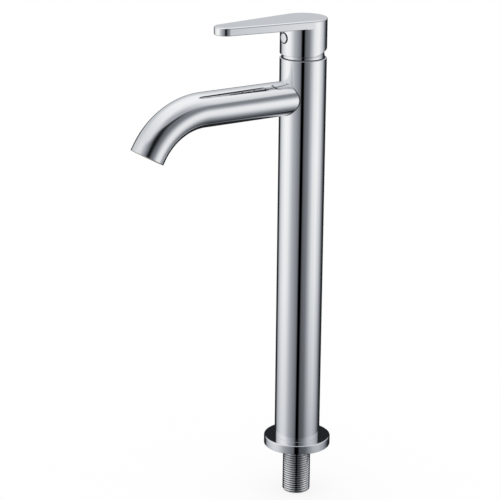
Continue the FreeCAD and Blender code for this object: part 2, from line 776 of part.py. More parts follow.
def skirt():
    """Round skirt with a broken lower edge, cut upwards at the back to leave room for the lift."""
    low = skirt_foot - 2 * column_radius
    high = lever_top - LEVER_TOP_ROUND - PLAY
    level = cylinder(column_radius, skirt_foot, high)
    level = level.makeChamfer(SKIRT_EDGE, rings_at(level, skirt_foot, column_radius))
    reach = 2 * column_radius
    wedge = block((-reach, reach), (-reach, reach), (-reach, 0))
    wedge.rotate(ORIGIN, X_AXIS, REAR_CUT_ANGLE)
    wedge.translate(V(0, -REAR_CUT_START, skirt_foot))
    sloped = cylinder(column_radius, low, high).cut(wedge)
    lower_edges = [edge for edge in sloped.Edges if isinstance(edge.Curve, Part.Ellipse)]
    return level.common(sloped.makeChamfer(SKIRT_EDGE, lower_edges))


def lever_handle():
    handle = lever_plate().fuse(skirt()).removeSplitter()
    thin_top = skirt_foot + SKIRT_THIN_HEIGHT
    thick_bore = column_radius - SKIRT_WALL
    cavity = turned([
        (0, skirt_foot - OVER),
        (skirt_bore, skirt_foot - OVER),
        (skirt_bore, thin_top),
        (thick_bore, thin_top + SKIRT_STEP),
        (thick_bore, cavity_roof),
        (0, cavity_roof),
    ])
    boss = cylinder(BOSS_RADIUS, boss_foot, cavity_roof + OVER)
    rib_half = RIB_WIDTH / 2
    rib = block((-rib_half, rib_half), (-thick_bore - OVER, 0), (boss_foot, cavity_roof + OVER))
    handle = handle.cut(cavity.cut(boss.fuse(rib)))
    socket_half = STEM_WIDTH / 2 + SLIP
    socket_depth = stem_half + SLIP
    handle = handle.cut(block(
        (-socket_half, socket_half),
        (-socket_depth, socket_depth),
        (boss_foot - OVER, stem_top + PLAY),
    ))
    handle = handle.cut(forward(SCREW_RADIUS + SLIP, 0, column_radius, screw_height))
    plug_hole = forward(PLUG_RADIUS + PLUG_HOLE_GAP, plug_seat, column_radius + OVER, screw_height)
    return handle.cut(plug_hole)


def handle_screw():
    near = stem_half + SLIP
    far = near + SCREW_LENGTH
    screw = forward(SCREW_RADIUS, near + SCREW_TIP, far, screw_height)
    tip_start = V(0, -near, screw_height)
    tip = Part.makeCone(SCREW_RADIUS - SCREW_TIP, SCREW_RADIUS, SCREW_TIP, tip_start, TO_SPOUT)
    key = hexagon(SCREW_KEY / 2 / cos(radians(30)), 0, SCREW_KEY_DEPTH + OVER)
    key.rotate(ORIGIN, X_AXIS, 90)
    key.translate(V(0, -far + SCREW_KEY_DEPTH, screw_height))
    return screw.fuse(tip).cut(key).removeSplitter()


def index_plug():
    face = column_radius + PLUG_PROUD
    head = forward(PLUG_RADIUS, plug_seat + SLIP, face, screw_height)
    front = [edge for edge in head.Edges if abs(edge.CenterOfMass.y + face) < TINY]
    head = head.makeFillet(PLUG_ROUND, front)
    stub_end = plug_seat - PLUG_STUB_LENGTH
    return head.fuse(forward(PLUG_STUB_RADIUS, stub_end, plug_seat + OVER, screw_height)).removeSplitter()


# The outlet, modelled upwards from the mouth's plane and then placed in the spout

def outlet_ring():
    return at_mouth(turned([
        (ring_thread, RING_INSET),
        (ring_radius, RING_INSET),
        (ring_radius, ring_end),
        (ring_stop, ring_end),
        (ring_stop, ring_step),
        (ring_thread, ring_step),
    ]))


def aerator_seal():
    top = ring_step
    return at_mouth(tube(aerator_radius, aerator_bore, top - SEAL_WASHER_HEIGHT, top))


def aerator_housing():
    housing = turned([
        (aerator_bore - AERATOR_LIP, AERATOR_INSET),
        (aerator_radius, AERATOR_INSET),
        (aerator_radius, aerator_end),
        (aerator_bore, aerator_end),
        (aerator_bore, core_foot),
        (aerator_bore - AERATOR_LIP, core_foot),
    ])
    half = AERATOR_NOTCH_WIDTH / 2
    for step in range(AERATOR_NOTCHES):
        notch = block(
            (aerator_radius - AERATOR_NOTCH_DEPTH, aerator_radius + OVER),
            (-half, half),
            (AERATOR_INSET - OVER, AERATOR_INSET + AERATOR_NOTCH_DEPTH),
        )
        notch.rotate(ORIGIN, Z_AXIS, 360 / AERATOR_NOTCHES * step)
        housing = housing.cut(notch)
    return at_mouth(housing)


def aerator_core():
    top = core_foot + CORE_HEIGHT
    core = cylinder(core_radius, core_foot, top)
    reach = core_radius - CORE_RIM
    core = core.cut(hole_grid(CORE_HOLE_SPACING, CORE_HOLE_RADIUS, reach, core_foot, top))
    return at_mouth(core.fuse(tube(core_radius, reach, top, screen_foot)).removeSplitter())


def aerator_screen():
    top = screen_foot + SCREEN_HEIGHT
    screen = cylinder(core_radius, screen_foot, top)
    reach = core_radius - CORE_RIM
    grid = hole_grid(SCREEN_HOLE_SPACING, SCREEN_HOLE_RADIUS, reach, screen_foot, top)
    return at_mouth(screen.cut(grid))


PIECES = (
    base_flange,
    base_gasket,
    base_plug,
    shank_seal,
    threaded_shank,
    supply_pipe,
    pipe_seals,
    column_tube,
    spout_tube,
    valve_body,
    body_seals,
    cartridge_base,
    port_seals,
    fixed_disc,
    moving_disc,
    disc_carrier,
    cartridge_housing,
    cartridge_stem,
    stem_pin,
    bonnet_nut,
    cover_seal,
    dome_cover,
    rim_seal,
    lever_handle,
    handle_screw,
    index_plug,
    outlet_ring,
    aerator_seal,
    aerator_housing,
    aerator_core,
    aerator_screen,
)

os.makedirs("parts", exist_ok=True)
for make in PIECES:
    shape = make()
    shape.exportStep(f"parts/{make.__name__}.step")
    print(f"{make.__name__}: {len(shape.Solids)} solid(s), {shape.Volume:.1f} mm3, valid {shape.isValid()}")
print(f"pivot {pivot:.3f}, rim {rim:.3f}, lever top {lever_top:.3f}, column radius {column_radius:.3f}")
print(f"stem arm {stem_arm:.3f}, disc slide {disc_slide:.3f}, mouth {mouth.y:.2f} {mouth.z:.2f}")
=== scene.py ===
import json
from math import asin, ceil, cos, radians, sin, sqrt, tan

import bmesh
import bpy
from mathutils import Matrix, Vector

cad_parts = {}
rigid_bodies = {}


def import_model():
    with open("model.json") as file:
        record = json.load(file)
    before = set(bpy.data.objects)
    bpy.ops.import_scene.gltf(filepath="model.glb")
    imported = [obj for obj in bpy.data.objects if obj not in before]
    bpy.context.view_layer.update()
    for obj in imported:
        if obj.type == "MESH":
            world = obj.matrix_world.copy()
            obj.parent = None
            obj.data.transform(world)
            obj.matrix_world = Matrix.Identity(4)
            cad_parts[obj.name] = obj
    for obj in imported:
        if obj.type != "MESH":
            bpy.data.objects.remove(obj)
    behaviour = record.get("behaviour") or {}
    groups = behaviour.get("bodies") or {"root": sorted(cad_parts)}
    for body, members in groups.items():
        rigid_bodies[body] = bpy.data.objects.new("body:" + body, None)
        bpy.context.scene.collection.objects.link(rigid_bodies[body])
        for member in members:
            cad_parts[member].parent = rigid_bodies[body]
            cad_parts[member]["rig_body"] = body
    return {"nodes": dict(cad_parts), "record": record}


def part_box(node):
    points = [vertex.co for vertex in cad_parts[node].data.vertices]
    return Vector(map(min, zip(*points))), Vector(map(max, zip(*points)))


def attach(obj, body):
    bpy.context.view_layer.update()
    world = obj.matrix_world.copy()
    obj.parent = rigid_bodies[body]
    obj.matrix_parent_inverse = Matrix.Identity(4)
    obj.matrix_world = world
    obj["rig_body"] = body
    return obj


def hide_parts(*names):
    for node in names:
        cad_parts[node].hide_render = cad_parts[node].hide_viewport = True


# A tall chromed pillar tap on a plain white ground, in metres.
# The origin is the centre of the base flange's underside, Z is up, and the spout points along -Y.

# Camera, in metres and degrees. The azimuth turns it round the column, from straight ahead of the spout.
VIEW_AZIMUTH = 55.0
VIEW_DISTANCE = 1.404
VIEW_HEIGHT = 0.591
VIEW_PITCH = 17.347
VIEW_YAW = 1.505
VIEW_ROLL = 0.52
VIEW_LENS = 143.4
FLOOR_HEIGHT = -0.0386
FLOOR_SIZE = 6.0
FLOOR_GLOW = 0.8
STUDIO_RADIUS = 0.8
STUDIO_MIDDLE = 0.27
WHITE = (1, 1, 1, 1)
BLACK = (0, 0, 0, 1)
COOL_SHADE = (0.87, 0.955, 1.07, 1)
# Fine grain, haze and waves of the finishes
HAZE_SCALE = 38.0
WAVE_SCALE = 60.0
WAVE_DEPTH = 1.5e-6
CHROME_ROUGHNESS = 0.02
CHROME_HAZE = 0.015
WEAR_SCALE = 300.0
WEAR_DEPTH = 1e-6
WEAR_HAZE = 0.04
GRAIN_SCALE = 400.0
GRAIN_DEPTH = 1e-5
GRAIN_HAZE = 0.12
# Distance from the axis where the painted shade in the thread's valleys ends and its bright ridges start
PAINTED_SHADE_BOTTOM = 0.0096
PAINTED_SHADE_TOP = 0.01

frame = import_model()
nodes = frame["nodes"]
scene = bpy.context.scene
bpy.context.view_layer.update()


class Value:
    """A number inside a shader. Arithmetic on it adds the Math nodes."""

    def __init__(self, graph, socket):
        self.graph = graph
        self.socket = socket

    def maths(self, operation, *inputs):
        node = self.graph.node("ShaderNodeMath", {"operation": operation}, dict(enumerate(inputs)))
        return Value(self.graph, node.outputs[0])

    def __add__(self, other):
        return self.maths("ADD", self, other)

    __radd__ = __add__

    def __sub__(self, other):
        return self.maths("SUBTRACT", self, other)

    def __rsub__(self, other):
        return self.maths("SUBTRACT", other, self)

    def __mul__(self, other):
        return self.maths("MULTIPLY", self, other)

    __rmul__ = __mul__

    def __truediv__(self, other):
        return self.maths("DIVIDE", self, other)

    def __abs__(self):
        return self.maths("ABSOLUTE", self)

    def root(self):
        return self.maths("SQRT", self)

    def step(self, low, high):
        """0 below low, 1 above high, and smooth between them."""
        settings = {"interpolation_type": "SMOOTHSTEP"}
        inputs = {"Value": self, "From Min": low, "From Max": high}
        return Value(self.graph, self.graph.node("ShaderNodeMapRange", settings, inputs).outputs[0])

    def blend(self, low, high):
        """Low where this is 0, high where it is 1."""
        return low + (high - low) * self

    def profile(self, stops, start, stop):
        """Follows (place, level) stops, with the places between start and stop."""
        span = stop - start
        return self.graph.ramp((self - start) / span, [((place - start) / span, level) for place, level in stops])


class Graph:
    """Adds nodes to one material or to the world."""

    def __init__(self, owner):
        owner.use_nodes = True
        self.tree = owner.node_tree
        self.tree.nodes.clear()

    def node(self, kind, settings=None, inputs=None):
        made = self.tree.nodes.new(kind)
        for key, value in (settings or {}).items():
            if key == "stops":
                self.set_stops(made.color_ramp, value)
            else:
                setattr(made, key, value)
        for key, value in (inputs or {}).items():
            if isinstance(value, Value):
                self.tree.links.new(value.socket, made.inputs[key])
            elif isinstance(value, bpy.types.NodeSocket):
                self.tree.links.new(value, made.inputs[key])
            else:
                made.inputs[key].default_value = value
        return made

    def set_stops(self, ramp, stops):
        """Grey stops of a ramp, as (place, level) pairs."""
        while len(ramp.elements) < len(stops):
            ramp.elements.new(0.5)
        for element, (place, level) in zip(ramp.elements, stops):
            element.position = place
            element.color = (level, level, level, 1.0)

    def value(self, socket):
        return Value(self, socket)

    def ramp(self, source, stops):
        return self.value(self.node("ShaderNodeValToRGB", {"stops": stops}, {0: source}).outputs["Color"])

    def mix_colours(self, factor, low, high):
        """The low colour where the factor is 0, the high one where it is 1."""
        inputs = {"Factor": factor, "A": low, "B": high}
        return self.node("ShaderNodeMix", {"data_type": "RGBA"}, inputs).outputs["Result"]

    def place(self):
        """Object coordinates."""
        return self.node("ShaderNodeTexCoord").outputs["Object"]

    def noise(self, scale, detail=2.0, roughness=0.5):
        """Noise on Object coordinates, from 0 to 1."""
        inputs = {"Vector": self.place(), "Scale": scale, "Detail": detail, "Roughness": roughness}
        return self.value(self.node("ShaderNodeTexNoise", None, inputs).outputs["Fac"])


def link_mesh(bm, name):
    """Turns a finished bmesh into an object of that name."""
    mesh = bpy.data.meshes.new(name)
    bm.to_mesh(mesh)
    bm.free()
    made = bpy.data.objects.new(name, mesh)
    scene.collection.objects.link(made)
    return made


# Camera

def make_camera():
    data = bpy.data.cameras.new("camera")
    data.lens = VIEW_LENS
    data.clip_end = 20.0
    camera = bpy.data.objects.new("camera", data)
    scene.collection.objects.link(camera)
    around = Matrix.Rotation(radians(VIEW_AZIMUTH), 4, "Z")
    aim = Matrix.Rotation(radians(VIEW_YAW), 4, "Z")
    tilt = Matrix.Rotation(radians(90 - VIEW_PITCH), 4, "X")
    roll = Matrix.Rotation(radians(VIEW_ROLL), 4, "Z")
    stand = Matrix.Translation((0, -VIEW_DISTANCE, VIEW_HEIGHT))
    camera.matrix_world = around @ stand @ aim @ tilt @ roll
    scene.camera = camera


# Studio

# The studio that polished metal sees, as (degrees, level). Round: degrees to the right of the camera's side.
# Two tall soft lights at the sides, a dark gap at the camera, and dark cloth behind.
LIGHTS_ROUND = [
    (-180, 0.02), (-141, 0.02), (-127, 0.52), (-106, 0.84), (-84, 1.0), (-66, 0.93), (-42, 0.50), (-12, 0.21),
    (-6, 0.0), (5, 0.0), (10, 0.13), (30, 0.25), (58, 0.86), (80, 0.97), (104, 0.66), (126, 0.17), (140, 0.02),
    (180, 0.02),
]
# The same lights a little higher, where a dark belt hangs on the right
BELT_ROUND = [
    (-180, 0.61), (-110, 0.65), (-78, 0.80), (-58, 0.80), (-40, 0.54), (-10, 0.10), (-4, 0.01), (10, 0.02),
    (25, 0.16), (55, 0.24), (80, 0.27), (140, 0.60), (180, 0.61),
]
# Up from the level of the tap: the wide light overhead, as seen in front, at the sides and behind
FRONT_RISE = [(37, 0.02), (43, 0.40), (53, 0.46), (66, 0.72), (76, 0.88), (90, 0.93)]
SIDE_RISE = [(30, 0.77), (45, 0.81), (65, 0.90), (90, 0.97)]
BACK_RISE = [(6, 0.02), (11, 0.60), (30, 0.63), (44, 0.84), (58, 0.95), (90, 0.98)]
# Down from it: how the left and the right light fall off
LEFT_FALL = [(-90, 0.03), (-62, 0.20), (-48, 0.60), (-38, 0.78), (-28, 0.92), (-15, 1.0)]
RIGHT_FALL = [(-90, 0.03), (-66, 0.08), (-54, 0.22), (-44, 0.43), (-36, 0.68), (-27, 0.90), (-17, 1.0)]

# Where one part of the studio passes into the next, in degrees round or up
FRONT_STARTS = (-44, 6)
FRONT_ENDS = (22, 85)
BACK_STARTS = (75, 130)
CLOTH_STARTS = (126, 142)
RIGHT_STARTS = (-6, 6)
BELT_STARTS = (-8, 20)
OVERHEAD_STARTS = (27, 37)


def light_studio():
    """White to the camera and even light on plain finishes. Polished metal sees a dome round the tap instead."""
    world = bpy.data.worlds.new("studio")
    scene.world = world
    graph = Graph(world)
    shine = graph.node("ShaderNodeBackground", None, {"Color": WHITE, "Strength": 1.0})
    graph.node("ShaderNodeOutputWorld", None, {"Surface": shine.outputs[0]})

    bm = bmesh.new()
    bmesh.ops.create_uvsphere(bm, u_segments=96, v_segments=48, radius=STUDIO_RADIUS)
    bmesh.ops.translate(bm, vec=(0, 0, STUDIO_MIDDLE), verts=bm.verts)
    dome = link_mesh(bm, "studio_dome")
    material = bpy.data.materials.new("studio dome")
    graph = Graph(material)
    parts = graph.node("ShaderNodeSeparateXYZ", None, {0: graph.place()}).outputs
    x, y, z = [graph.value(part) for part in parts]
    turn = radians(VIEW_AZIMUTH)
    to_camera = x * sin(turn) - y * cos(turn)
    to_right = x * cos(turn) + y * sin(turn)
    round_angle = to_right.maths("ARCTAN2", to_right, to_camera) / radians(1)
    sine = (z - STUDIO_MIDDLE) / STUDIO_RADIUS
    height = sine.maths("ARCSINE", sine) / radians(1)
    lights = round_angle.profile(LIGHTS_ROUND, -180, 180)
    belt = round_angle.profile(BELT_ROUND, -180, 180)
    front, side, back = [height.profile(stops, 0, 90) for stops in (FRONT_RISE, SIDE_RISE, BACK_RISE)]
    left, right = [height.profile(stops, -90, 0) for stops in (LEFT_FALL, RIGHT_FALL)]
    in_front = round_angle.step(*FRONT_STARTS) - round_angle.step(*FRONT_ENDS)
    behind = abs(round_angle).step(*BACK_STARTS)
    above = behind.blend(in_front.blend(side, front), back)
    falling = round_angle.step(*RIGHT_STARTS).blend(left, right)
    low = height.step(*BELT_STARTS).blend(lights * falling, belt)
    low = abs(round_angle).step(*CLOTH_STARTS).blend(low, back)
    level = height.step(*OVERHEAD_STARTS).blend(low, above)
    tint = graph.mix_colours(level, COOL_SHADE, WHITE)
    glow = graph.node("ShaderNodeEmission", None, {"Color": graph.mix_colours(level, BLACK, tint), "Strength": 1.0})
    graph.node("ShaderNodeOutputMaterial", None, {"Surface": glow.outputs[0]})
    dome.data.materials.append(material)
    dome.visible_camera = False
    dome.visible_diffuse = False
    dome.visible_transmission = False
    dome.visible_shadow = False


def make_floor():
    bpy.ops.mesh.primitive_plane_add(size=FLOOR_SIZE, location=(0, 0, FLOOR_HEIGHT))
    floor = bpy.context.object
    floor.name = "floor"
    material = bpy.data.materials.new("white floor")
    graph = Graph(material)
    lit = graph.node("ShaderNodeBsdfDiffuse", None, {"Color": WHITE})
    glow = graph.node("ShaderNodeEmission", None, {"Color": WHITE, "Strength": 1.0})
    seen = graph.value(graph.node("ShaderNodeLightPath").outputs["Is Camera Ray"])
    mix = graph.node("ShaderNodeMixShader", None, {0: seen * FLOOR_GLOW, 1: lit.outputs[0], 2: glow.outputs[0]})
    graph.node("ShaderNodeOutputMaterial", None, {"Surface": mix.outputs[0]})
    floor.data.materials.append(material)
    floor.visible_glossy = False


# Materials

def principled(graph, **inputs):
    named = {key.replace("_", " ").title(): value for key, value in inputs.items()}
    shader = graph.node("ShaderNodeBsdfPrincipled", None, named)
    graph.node("ShaderNodeOutputMaterial", None, {"Surface": shader.outputs[0]})


def bump(graph, height, distance):
    inputs = {"Height": height, "Distance": distance, "Strength": 1.0}
    return graph.node("ShaderNodeBump", None, inputs).outputs[0]


def chrome(name, colour):
    """Polished chrome plate: faint waves from the polishing wheel, and a thin haze of wiping marks."""
    material = bpy.data.materials.new(name)
    graph = Graph(material)
    haze = graph.noise(HAZE_SCALE, 4.0, 0.6)
    principled(
        graph,
        base_color=(*colour, 1),
        metallic=1.0,
        roughness=CHROME_ROUGHNESS + haze.step(0.45, 0.75) * CHROME_HAZE,
        normal=bump(graph, graph.noise(WAVE_SCALE, 1.0), WAVE_DEPTH),
    )
    return material


def plated_thread_with_painted_shade(name, colour, painted_shade_colour, roughness):
    """Bright plating on the ridges of the thread, and painted shade down in its valleys: the colour goes near black
    there.
    """
    material = bpy.data.materials.new(name)
    graph = Graph(material)
    parts = graph.node("ShaderNodeSeparateXYZ", None, {0: graph.place()}).outputs
    x, y = graph.value(parts["X"]), graph.value(parts["Y"])
    # Painted shade: the base colour darkens towards the axis, down in the thread's valleys.
    ridge_clear_of_painted_shade = (x * x + y * y).root().step(PAINTED_SHADE_BOTTOM, PAINTED_SHADE_TOP)
    wear = graph.noise(WEAR_SCALE, 2.0)
    principled(
        graph,
        base_color=graph.mix_colours(ridge_clear_of_painted_shade, (*painted_shade_colour, 1), (*colour, 1)),
        metallic=1.0,
        roughness=roughness + wear * WEAR_HAZE,
        normal=bump(graph, wear, WEAR_DEPTH),
    )
    return material


def plain(name, colour, roughness, metallic=0.0):
    """Moulded or machined finish with a fine grain."""
    material = bpy.data.materials.new(name)
    graph = Graph(material)
    speck = graph.noise(GRAIN_SCALE, 3.0)
    principled(
        graph,
        base_color=(*colour, 1),
        metallic=metallic,
        roughness=roughness + (speck - 0.5) * GRAIN_HAZE,
        normal=bump(graph, speck, GRAIN_DEPTH),
    )
    return material


FINISHES = {
    "chrome": chrome("polished chrome", (0.90, 0.905, 0.915)),
    "chrome_trim": chrome("chromed plug", (0.90, 0.90, 0.91)),
    # The thread's dark second colour is painted shade for its valleys.
    "plated_shank": plated_thread_with_painted_shade("plated thread with painted valley shade", (0.94, 0.94, 0.94), (0.07, 0.07, 0.07), 0.03),
    "brass": plain("machined brass", (0.78, 0.58, 0.28), 0.3, 1.0),
    "steel": plain("drawn steel", (0.62, 0.62, 0.63), 0.28, 1.0),
    "black_rubber": plain("black rubber", (0.02, 0.02, 0.02), 0.65),
    "white_ceramic": plain("lapped ceramic", (0.86, 0.85, 0.82), 0.2),
    "white_plastic": plain("white plastic", (0.80, 0.80, 0.78), 0.42),
    "grey_plastic": plain("grey plastic", (0.48, 0.49, 0.51), 0.45),
}


slot_of = {part["node"]: part["material_slot"] for part in frame["record"]["subparts"]}


def dress_nodes():
    for node, slot in slot_of.items():
        mesh = nodes[node].data
        mesh.materials.clear()
        mesh.materials.append(FINISHES[slot])


# Pieces, modelled in millimetres

MM = 0.001
CLOSE = 0.01
ROUND_STEPS = 144
SPOUT_STEPS = 96
BEND_STEPS = 48
PLUG_STEPS = 64
TOP_ARC_STEPS = 14
UNDER_ARC_STEPS = 8
SKIRT_REAR_STEPS = 78
SKIRT_FRONT_STEPS = 66
TIP_STEPS = 48
COLUMN_RADIUS = 17.0
COLUMN_BORE = 15.0
COLUMN_CHAMFER = 0.15
COLUMN_TOP_ROUND = 0.5
RIM_BORE_ROUND = 0.12
RIM_BORE = 16.0
RIM_DEPTH = 3.5
FLANGE_RADIUS = 25.0
FLANGE_TOP = 6.7
FLANGE_TOP_ROUND = 0.7
FLANGE_FOOT_ROUND = 0.3
GASKET_RADIUS = 22.5
GASKET_RECESS = 1.8
SPIGOT_RADIUS = 12.5
SHANK_RADIUS = 10.4775
SHANK_BORE = 7.0
SHANK_TOP = 1.9
SHANK_CHAMFER = 0.7
THREAD_PITCH = 1.8143
THREAD_DEPTH = 0.95
THREAD_POINTS = 14
THREAD_STEPS = 72
SPOUT_HEIGHT = 269.5
SPOUT_RADIUS = 12.5
SPOUT_BORE = 11.3
SPOUT_BEND_START = 85.0
SPOUT_BEND_RADIUS = 50.0
SPOUT_TURN = radians(60)
SPOUT_END = 4.0
MOUTH_BORE = 11.5
MOUTH_DEPTH = 9.2
MOUTH_ROUND = 0.25
SPOUT_INSET = 0.5
BRAZE_SIZE = 0.5
BRAZE_STEPS = 5
DOME_BALL = 15.4
DOME_BORE = 14.5
DOME_OPENING = 12.6
DOME_FOOT = 0.8
DOME_STEP_BORE = 14.45
DOME_STEP_HEIGHT = 1.9
DOME_ROUND = 0.25
PIVOT_ABOVE_RIM = 0.2
LEVER_LENGTH = 66.0
LEVER_TIP = 8.4
LEVER_THICKNESS = 6.0
LEVER_TOP_ROUND = 1.2
LEVER_UNDER_ROUND = 0.8
UNDER_ROUND_START = 6.0
LEVER_ROOF = 4.0
SKIRT_BORE = 15.7
SKIRT_UPPER_BORE = 14.5
SKIRT_THIN_HEIGHT = 4.2
SKIRT_STEP = 1.5
SKIRT_EDGE = 0.4
REAR_CUT_START = 2.0
REAR_CUT_ANGLE = radians(14.6)
PLUG_RADIUS = 3.5
PLUG_HEIGHT = 313.35
PLUG_HOLE = 4.2
PLUG_SEAT = 13.4
PLUG_SEAT_GAP = 0.05
PLUG_FACE = 17.6
PLUG_ROUND = 0.5
PLUG_STUB_RADIUS = 2.3
PLUG_STUB_END = 11.2

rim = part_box("column_tube")[1].z / MM
pivot = rim + PIVOT_ABOVE_RIM
shank_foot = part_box("threaded_shank")[0].z / MM
skirt_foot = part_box("lever_handle")[0].z / MM
lever_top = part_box("lever_handle")[1].z / MM
lever_foot = lever_top - LEVER_THICKNESS


def verts_of(result):
    return [item for item in result if isinstance(item, bmesh.types.BMVert)]


def edges_of(result):
    return [item for item in result if isinstance(item, bmesh.types.BMEdge)]


def edges_between(verts):
    """Edges whose two ends are both among the vertices."""
    chosen = set(verts)
    return list({edge for v in verts for edge in v.link_edges if edge.other_vert(v) in chosen})


def grow(bm, edges, move=(0, 0, 0), spread=1.0, centre=(0, 0, 0)):
    """Extrudes a line of edges, moves it and spreads it about a centre. Returns its new edges."""
    out = bmesh.ops.extrude_edge_only(bm, edges=edges)["geom"]
    middle = Vector(centre)
    for v in verts_of(out):
        v.co = middle + (v.co - middle) * spread + Vector(move)
    return edges_of(out)


def grow_ring(bm, edges, radius, height):
    """Extrudes a ring about Z to another radius and height."""
    out = bmesh.ops.extrude_edge_only(bm, edges=edges)["geom"]
    for v in verts_of(out):
        v.co = Vector((*(v.co.xy.normalized() * radius), height))
    return edges_of(out)


def at(radius, height):
    """Tells whether an edge is part of the ring of that radius and height about Z."""
    def test(edge):
        return all(abs(v.co.xy.length - radius) < CLOSE and abs(v.co.z - height) < CLOSE for v in edge.verts)
    return test


def round_edges(bm, test, size, segments):
    """Rounds the edges that pass the test."""
    chosen = [edge for edge in bm.edges if test(edge)]
    bmesh.ops.bevel(
        bm, geom=chosen, offset=size, offset_type="OFFSET", segments=segments, profile=0.5,
        affect="EDGES", material=-1,
    )


def lathe(outline, steps=ROUND_STEPS):
    """Turns a (radius, height) outline about Z. One that starts on the axis is left open there."""
    bm = bmesh.new()
    verts = [bm.verts.new((radius, 0, height)) for radius, height in outline]
    for pair in zip(verts, verts[1:]):
        bm.edges.new(pair)
    if outline[0][0] > 0:
        bm.edges.new((verts[-1], verts[0]))
    bmesh.ops.spin(
        bm, geom=verts + bm.edges[:], cent=(0, 0, 0), axis=(0, 0, 1), angle=radians(360), steps=steps,
        use_merge=True, use_duplicate=False,
    )
    bmesh.ops.remove_doubles(bm, verts=bm.verts, dist=1e-4)
    bmesh.ops.recalc_face_normals(bm, faces=bm.faces)
    return bm


def finish_piece(bm, name, node, crease=32.0):
    """Puts a bmesh in place of a CAD node: metres, smooth shading, the node's finish and its body."""
    bmesh.ops.scale(bm, vec=(MM, MM, MM), verts=bm.verts)
    piece = link_mesh(bm, name)
    for face in piece.data.polygons:
        face.use_smooth = True
    piece.data.set_sharp_from_angle(angle=radians(crease))
    even = piece.modifiers.new("even shading", "WEIGHTED_NORMAL")
    even.keep_sharp = True
    slot = slot_of[node]
    piece.data.materials.append(FINISHES[slot])
    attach(piece, nodes[node]["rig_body"])
    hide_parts(node)
    return piece


def make_column():
    bm = lathe([
        (COLUMN_BORE, FLANGE_TOP), (COLUMN_RADIUS - COLUMN_CHAMFER, FLANGE_TOP),
        (COLUMN_RADIUS, FLANGE_TOP + COLUMN_CHAMFER), (COLUMN_RADIUS, rim), (RIM_BORE, rim),
        (RIM_BORE, rim - RIM_DEPTH), (COLUMN_BORE, rim - RIM_DEPTH),
    ])
    round_edges(bm, at(COLUMN_RADIUS, rim), COLUMN_TOP_ROUND, 4)
    round_edges(bm, at(RIM_BORE, rim), RIM_BORE_ROUND, 2)
    finish_piece(bm, "column", "column_tube")


def make_flange():
    bm = lathe([
        (SPIGOT_RADIUS, GASKET_RECESS), (GASKET_RADIUS, GASKET_RECESS), (GASKET_RADIUS, 0),
        (FLANGE_RADIUS, 0), (FLANGE_RADIUS, FLANGE_TOP), (SPIGOT_RADIUS, FLANGE_TOP),
    ])
    round_edges(bm, at(FLANGE_RADIUS, FLANGE_TOP), FLANGE_TOP_ROUND, 6)
    round_edges(bm, at(FLANGE_RADIUS, 0), FLANGE_FOOT_ROUND, 3)
    finish_piece(bm, "foot_flange", "base_flange")


def make_shank():
    """The thread is one round wave, spun up the shank pitch by pitch and cut level at both ends."""
    bm = bmesh.new()
    foot = shank_foot - 2 * THREAD_PITCH
    verts = []
    for point in range(THREAD_POINTS + 1):
        part = point / THREAD_POINTS
        depth = THREAD_DEPTH * (1 - cos(radians(360) * part)) / 2
        verts.append(bm.verts.new((SHANK_RADIUS - depth, 0, foot + THREAD_PITCH * part)))
    edges = [bm.edges.new(pair) for pair in zip(verts, verts[1:])]
    bmesh.ops.spin(
        bm, geom=verts + edges, cent=(0, 0, 0), axis=(0, 0, 1), dvec=(0, 0, THREAD_PITCH / THREAD_STEPS),
        angle=radians(360), steps=THREAD_STEPS, use_merge=False, use_duplicate=False,
    )
    coil = bm.verts[:] + bm.edges[:] + bm.faces[:]
    for turn in range(1, ceil((SHANK_TOP - foot) / THREAD_PITCH) + 1):
        copy = bmesh.ops.duplicate(bm, geom=coil)["geom"]
        bmesh.ops.translate(bm, vec=(0, 0, THREAD_PITCH * turn), verts=verts_of(copy))
    bmesh.ops.remove_doubles(bm, verts=bm.verts, dist=1e-3)
    bore = []
    for height, keep_above in ((shank_foot, True), (SHANK_TOP, False)):
        cut = bmesh.ops.bisect_plane(
            bm, geom=bm.verts[:] + bm.edges[:] + bm.faces[:], dist=1e-5, plane_co=(0, 0, height),
            plane_no=(0, 0, 1), clear_inner=keep_above, clear_outer=not keep_above,
        )["geom_cut"]
        bore += grow_ring(bm, edges_of(cut), SHANK_BORE, height)
    bmesh.ops.bridge_loops(bm, edges=bore)
    for v in bm.verts:
        limit = SHANK_RADIUS - SHANK_CHAMFER + v.co.z - shank_foot
        if v.co.xy.length > limit:
            v.co.xy = v.co.xy.normalized() * limit
    bmesh.ops.recalc_face_normals(bm, faces=bm.faces)
    finish_piece(bm, "shank", "threaded_shank", 75.0)


def arc(ball, start, stop, steps):
    """Points of the dome's outline from one height above the pivot to another."""
    heights = [start + (stop - start) * step / steps for step in range(steps + 1)]
    return [(sqrt(ball ** 2 - height ** 2), pivot + height) for height in heights]


def make_dome():
    top = sqrt(DOME_BALL ** 2 - DOME_OPENING ** 2)
    under = sqrt(DOME_BORE ** 2 - DOME_OPENING ** 2)
    outline = [(DOME_BALL, rim - DOME_FOOT)] + arc(DOME_BALL, 0.0, top, TOP_ARC_STEPS)
    outline += arc(DOME_BORE, under, DOME_STEP_HEIGHT, UNDER_ARC_STEPS)
    outline += [(DOME_STEP_BORE, pivot + DOME_STEP_HEIGHT), (DOME_STEP_BORE, rim - DOME_FOOT)]
    bm = lathe(outline)
    round_edges(bm, at(DOME_OPENING, pivot + top), DOME_ROUND, 3)
    finish_piece(bm, "dome", "dome_cover")


def spout_way():
    """Direction in which the water leaves."""
    return Vector((0, -cos(SPOUT_TURN), -sin(SPOUT_TURN)))


